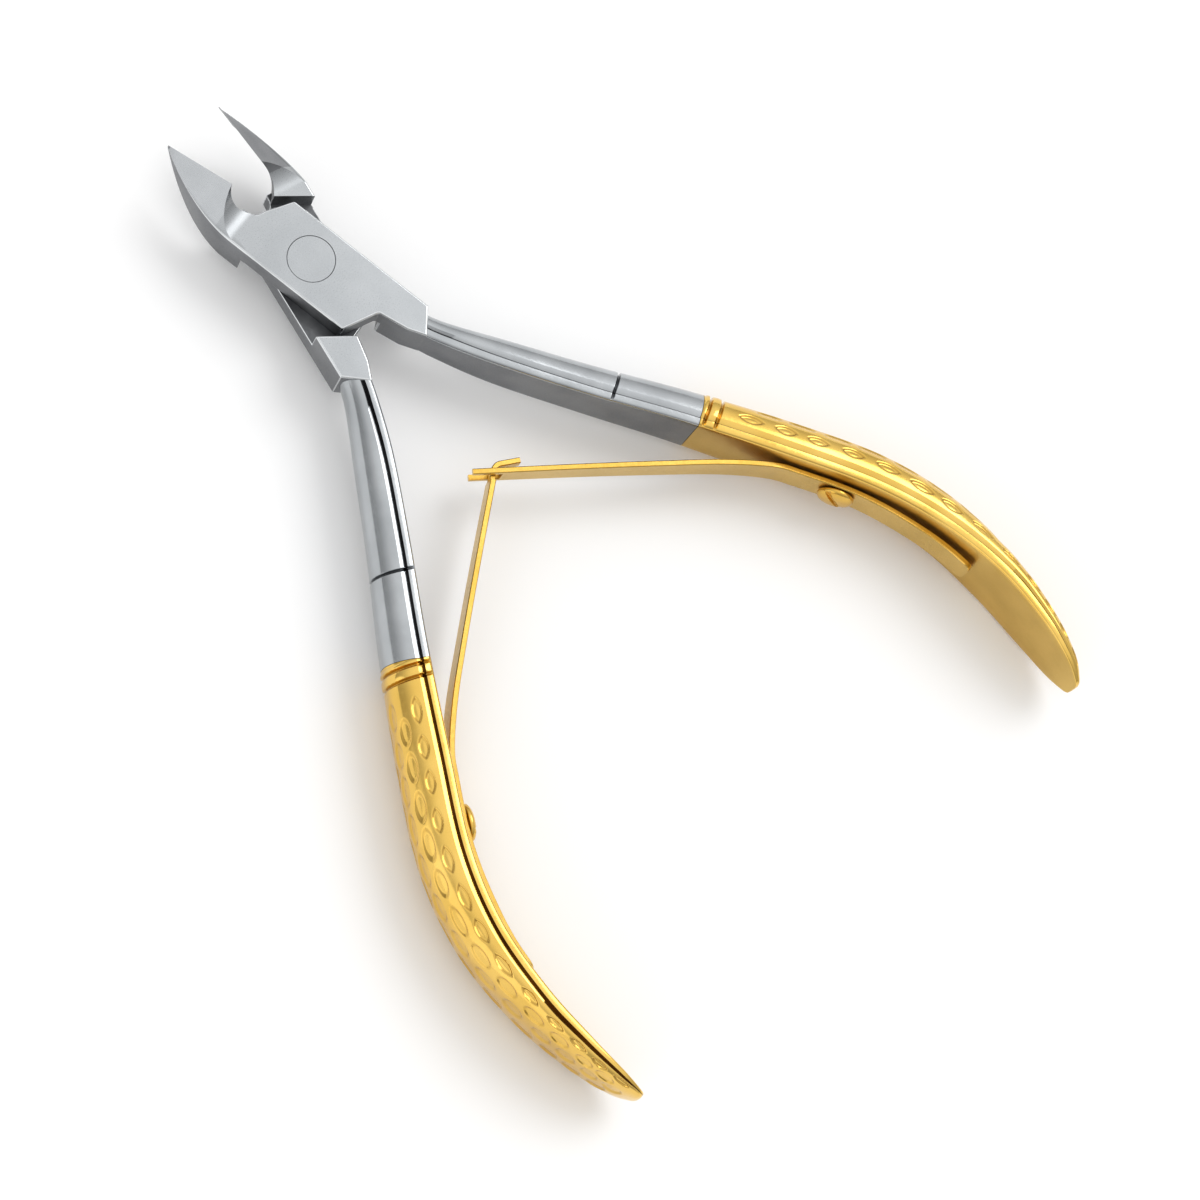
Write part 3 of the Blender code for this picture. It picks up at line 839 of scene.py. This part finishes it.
# Stores how much shade is painted at each point of the mesh.
def mark_painted_shade(obj, shadows):
    recess = obj.data.attributes.new(RECESS_SHADE, "FLOAT", "POINT")
    for i, shadow in enumerate(shadows):
        recess.data[i].value = shadow


def shank(side):
    stations = stations_between(*SHANK_SPAN, 60, (SHANK_GROOVE,))
    rings, shadows = handle_rings(side, stations, (SHANK_GROOVE,), (), 24)
    obj = loft(rings, f"lever_{side.letter}_shank", STEEL_BRUSHED, STEEL_SHADE, STEEL_SEAM_SHADE)
    mark_painted_shade(obj, shadows)
    dress_handle(obj, len(rings[0]))
    shade(obj, 40)
    place(obj, side.body, "satin_steel")


def grip(side):
    stations = stations_between(*GRIP_SPAN, GRIP_STATIONS, BEAD_GROOVES)
    rings, shadows = handle_rings(side, stations, BEAD_GROOVES, BEADS, GRIP_CROWN_STEPS,
                                  DIMPLE_START)
    # The grip's end closes over a few shrinking rings.
    last = rings[-1]
    middle = sum(last, Vector()) / len(last)
    along = (middle - sum(rings[-2], Vector()) / len(last)).normalized()
    for share in GRIP_END_RINGS:
        shrink = math.sqrt(1 - share ** 2)
        rings.append([middle + (p - middle) * shrink + along * GRIP_END_DOME * MM * share
                      for p in last])
    obj = loft(rings, f"lever_{side.letter}_dimpled_grip", GOLD, GOLD_SATIN_SHADE, GOLD_SEAM_SHADE)
    mark_painted_shade(obj, shadows)
    dress_handle(obj, len(rings[0]))
    shade(obj, 40)
    place(obj, side.body, "gold_plate", f"lever_{side.letter}_grip")


# ------------------------------------------------------------------ springs

def strip_ring(side, centre, normal, half_width):
    """Rectangular leaf section with small rounded corners."""
    t, w, corner = LEAF_THICKNESS / 2, half_width, LEAF_CORNER
    outline = [(-t + corner, -w), (t - corner, -w), (t, -w + corner), (t, w - corner),
               (t - corner, w), (-t + corner, w), (-t, w - corner), (-t, -w + corner)]
    return [side.point(centre[0] + normal[0] * a, centre[1] + normal[1] * a, MID_Z + b)
            for a, b in outline]


def leaf_tip():
    """Junction point and unit direction of the leaf's tip, in the closed frame."""
    junction = Matrix.Rotation(-OPEN_HALF_ANGLE, 2) @ Vector((0.0, JUNCTION_Y))
    return junction, (junction - Vector(LEAF_KNOTS[-1])).normalized()


def leaf_rings(side, end_reach, steps):
    junction, toward = leaf_tip()
    knots = LEAF_KNOTS + [tuple(junction + toward * end_reach)]
    rings = []
    tail_length = math.dist(knots[0], knots[1])
    for t in span(0.0, 0.30, 14) + span(0.34, len(knots) - 1, steps):
        if t < ROOT_KNOT:
            half = TAIL_HALF_WIDTH + (ROOT_HALF_WIDTH - TAIL_HALF_WIDTH) * t / ROOT_KNOT
        else:
            share = (t - ROOT_KNOT) / (len(knots) - 1 - ROOT_KNOT)
            half = ROOT_HALF_WIDTH + (TIP_HALF_WIDTH - ROOT_HALF_WIDTH) * share
        in_corner = TAIL_CORNER - t * tail_length
        if in_corner > 0:
            half -= TAIL_CORNER - math.sqrt(TAIL_CORNER ** 2 - in_corner ** 2)
        rings.append(strip_ring(side, spline(knots, t), path_normal(knots, t), half))
    return rings


def finish_leaf(obj, side):
    for face in obj.data.polygons:
        if abs(face.normal.z) > 0.5:
            face.material_index = LEAF_EDGE
    shade(obj, 35)
    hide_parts(f"spring_{side.letter}_clamp", f"spring_{side.letter}_leaf")
    start = side.point(*spline(LEAF_KNOTS, BEND_KNOTS[0]), MID_Z)
    end = side.point(*spline(LEAF_KNOTS, BEND_KNOTS[1]), MID_Z)
    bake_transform(obj)


def fork_leaf(side):
    """Leaf whose tip is slotted into two prongs."""
    obj = loft(leaf_rings(side, FORK_REACH, 90), f"spring_{side.letter}_forked_leaf",
               SPRING_FACE, SPRING_EDGE)
    junction, toward = leaf_tip()
    square = Vector((-toward.y, toward.x))
    corners = [(-FORK_CUT_HALF, -FORK_SLOT_HALF), (FORK_CUT_HALF, -FORK_SLOT_HALF),
               (FORK_CUT_HALF, FORK_SLOT_HALF), (-FORK_CUT_HALF, FORK_SLOT_HALF)]
    rings = []
    for reach in (-FORK_CROTCH, FORK_REACH + 1.0):
        c = junction + toward * reach
        rings.append([side.point(c.x + square.x * a, c.y + square.y * a, MID_Z + b)
                      for a, b in corners])
    combine(obj, loft(rings, "fork_cutter"), "DIFFERENCE")
    finish_leaf(obj, side)


def hooked_leaf(side):
    """Leaf whose tip narrows to a neck and folds back as a hook."""
    junction, toward = leaf_tip()
    square = Vector((-toward.y, toward.x))
    rings = leaf_rings(side, -SHOULDER_SETBACK, 84)
    for reach, half in ((0.10 - SHOULDER_SETBACK, 0.9), (0.2 - SHOULDER_SETBACK, NECK_HALF_WIDTH),
                        (NECK_REACH, NECK_HALF_WIDTH)):
        rings.append(strip_ring(side, junction + toward * reach, square, half))
    heading = math.atan2(toward.y, toward.x)
    rise = math.pi - (heading + OPEN_HALF_ANGLE)
    bend = (2 * rise - HOOK_OPENING) / HOOK_STEPS
    centre = junction + toward * NECK_REACH
    for _ in range(HOOK_STEPS):
        heading += bend / 2
        centre = centre + Vector((math.cos(heading), math.sin(heading))) * HOOK_BEND_RADIUS * bend
        heading += bend / 2
        across = (-math.sin(heading), math.cos(heading))
        rings.append(strip_ring(side, centre, across, NECK_HALF_WIDTH))
    end = centre + Vector((math.cos(heading), math.sin(heading))) * HOOK_LENGTH
    rings.append(strip_ring(side, end, across, NECK_HALF_WIDTH))
    obj = loft(rings, f"spring_{side.letter}_hooked_leaf", SPRING_FACE, SPRING_EDGE)
    finish_leaf(obj, side)


# ------------------------------------------------------------------ fasteners

def screw_frame(side):
    """Place of a spring screw: local +Z points out of the grip's inner face."""
    out = -path_normal(LEAF_KNOTS, SCREW_KNOT)
    x, y = spline(LEAF_KNOTS, SCREW_KNOT)
    origin = side.point(x, y, MID_Z)
    axis = (side.point(x - out.x, y - out.y, MID_Z) - origin).normalized()
    turn = axis.to_track_quat("Z", "Y").to_matrix().to_4x4()
    return Matrix.Translation(origin) @ turn


def spring_screw(side):
    seat = LEAF_THICKNESS / 2 + SCREW_SEAT_GAP
    low_rim = seat + SCREW_RIM_SHARE * SCREW_HEAD_HEIGHT
    profile = [(SCREW_STEM_RADIUS, -SCREW_STEM_LENGTH), (SCREW_STEM_RADIUS, seat),
               (SCREW_HEAD_RADIUS - SCREW_CHAMFER, seat),
               (SCREW_HEAD_RADIUS, seat + SCREW_CHAMFER)]
    dome = SCREW_HEAD_HEIGHT - SCREW_RIM_SHARE * SCREW_HEAD_HEIGHT
    for i in range(9):
        a = math.radians(10 * i)
        profile.append((SCREW_HEAD_RADIUS * math.cos(a) ** 0.8, low_rim + dome * math.sin(a)))
    place_at = screw_frame(side)
    obj = turned(profile, f"spring_{side.letter}_slotted_screw", 64, place_at, SPRING_EDGE)
    reach, half = SCREW_HEAD_RADIUS + 1.0, SLOT_WIDTH / 2
    turn = place_at @ Matrix.Rotation(SLOT_TURN, 4, "Z")
    top = seat + SCREW_HEAD_HEIGHT
    corners = [(-half, -reach), (half, -reach), (half, reach), (-half, reach)]
    rings = [[turn @ (Vector((x, y, z)) * MM) for x, y in corners]
             for z in (top - SLOT_DEPTH, top + 1.0)]
    combine(obj, loft(rings, "slot_cutter"), "DIFFERENCE")
    clean(obj)
    round_edges(obj, lambda middle: SLOT_EDGE_BEVEL, 2, 35)
    shade(obj, 50, weighted=True)
    place(obj, side.body, "gold_screw", f"spring_{side.letter}_screw")


def rivet():
    r, top = RIVET_HEAD_RADIUS, JOINT_THICKNESS
    soft = RIVET_SOFT
    stem = r - RIVET_STEM_STEP
    profile = [(r - soft, 0.0), (r, soft), (r, RIVET_DEPTH), (stem, RIVET_DEPTH + RIVET_CONE),
               (stem, top - RIVET_DEPTH - RIVET_CONE), (r, top - RIVET_DEPTH), (r, top - soft),
               (r - soft, top)]
    obj = turned(profile, "flush_rivet", 128, Matrix.Identity(4), STEEL)
    shade(obj, 35)
    place(obj, "lever_a", "rivet_steel", "pivot_rivet")


# ------------------------------------------------------------------ stage

def make_camera():
    data = bpy.data.cameras.new("camera")
    data.lens = CAMERA_LENS
    data.sensor_width = SENSOR
    data.clip_start, data.clip_end = 0.01, 20.0
    camera = bpy.data.objects.new("camera", data)
    a, e = CAMERA_AZIMUTH, CAMERA_ELEVATION
    back = Vector((math.sin(a) * math.cos(e), -math.cos(a) * math.cos(e), math.sin(e)))
    right = Vector((math.cos(a), math.sin(a), 0.0))
    up = back.cross(right)
    c, s = math.cos(CAMERA_ROLL), math.sin(CAMERA_ROLL)
    axes = Matrix((c * right + s * up, -s * right + c * up, back)).transposed()
    camera.matrix_world = Matrix.Translation(CAMERA_TARGET + back * CAMERA_DISTANCE) @ axes.to_4x4()
    bpy.context.scene.collection.objects.link(camera)
    bpy.context.scene.camera = camera


def wide_sun(name, direction, width, radiance):
    """Far round lamp, width degrees across, seen in reflections at the radiance given."""
    data = bpy.data.lights.new(name, "SUN")
    data.angle = math.radians(width)
    data.energy = radiance * math.pi * math.sin(data.angle / 2) ** 2
    light = bpy.data.objects.new(name, data)
    light.rotation_mode = "QUATERNION"
    light.rotation_quaternion = Vector(direction).to_track_quat("Z", "Y")
    bpy.context.scene.collection.objects.link(light)


def make_stage():
    low = cad_bounds[0]
    bm = bmesh.new()
    bmesh.ops.create_grid(bm, x_segments=1, y_segments=1, size=FLOOR_HALF_SIZE)
    floor_paint, shader = new_material("pale_floor", (0.97, 0.97, 0.97), 0.0, 0.75)
    shader.inputs["Specular IOR Level"].default_value = 0.1
    floor = object_from(bm, "floor", floor_paint)
    floor.location = (0.0, 0.0, low.z - FLOOR_GAP)
    wide_sun("key", KEY_DIRECTION, KEY_WIDTH, KEY_RADIANCE)


def make_world():
    """A light tent: bright overhead and on one side, darker towards the horizon."""
    world = bpy.data.worlds.new("studio")
    world.use_nodes = True
    nodes, links = world.node_tree.nodes, world.node_tree.links
    coords = nodes.new("ShaderNodeTexCoord")
    brighter = nodes.new("ShaderNodeMath")
    brighter.operation = "MAXIMUM"
    for i, (direction, stops) in enumerate(TENT_LOBES):
        toward = nodes.new("ShaderNodeVectorMath")
        toward.operation = "DOT_PRODUCT"
        toward.inputs[1].default_value = Vector(direction).normalized()
        lobe = nodes.new("ShaderNodeValToRGB")
        for position, grey in stops:
            stop = lobe.color_ramp.elements.new(position)
            stop.color = (grey, grey, grey, 1.0)
        lobe.color_ramp.elements.remove(lobe.color_ramp.elements[0])
        lobe.color_ramp.elements.remove(lobe.color_ramp.elements[-1])
        links.new(coords.outputs["Generated"], toward.inputs[0])
        links.new(toward.outputs["Value"], lobe.inputs["Fac"])
        links.new(lobe.outputs["Color"], brighter.inputs[i])
    background = nodes["Background"]
    links.new(brighter.outputs["Value"], background.inputs["Color"])
    background.inputs["Strength"].default_value = TENT_STRENGTH
    bpy.context.scene.world = world
    bpy.context.scene.view_settings.view_transform = "Standard"


def main():
    make_camera()
    make_stage()
    make_world()
    for side, keep_above in zip(SIDES, (True, False)):
        lever_head(side, keep_above)
        shank(side)
        grip(side)
        spring_screw(side)
    fork_leaf(SIDES[0])
    hooked_leaf(SIDES[1])
    rivet()


main()
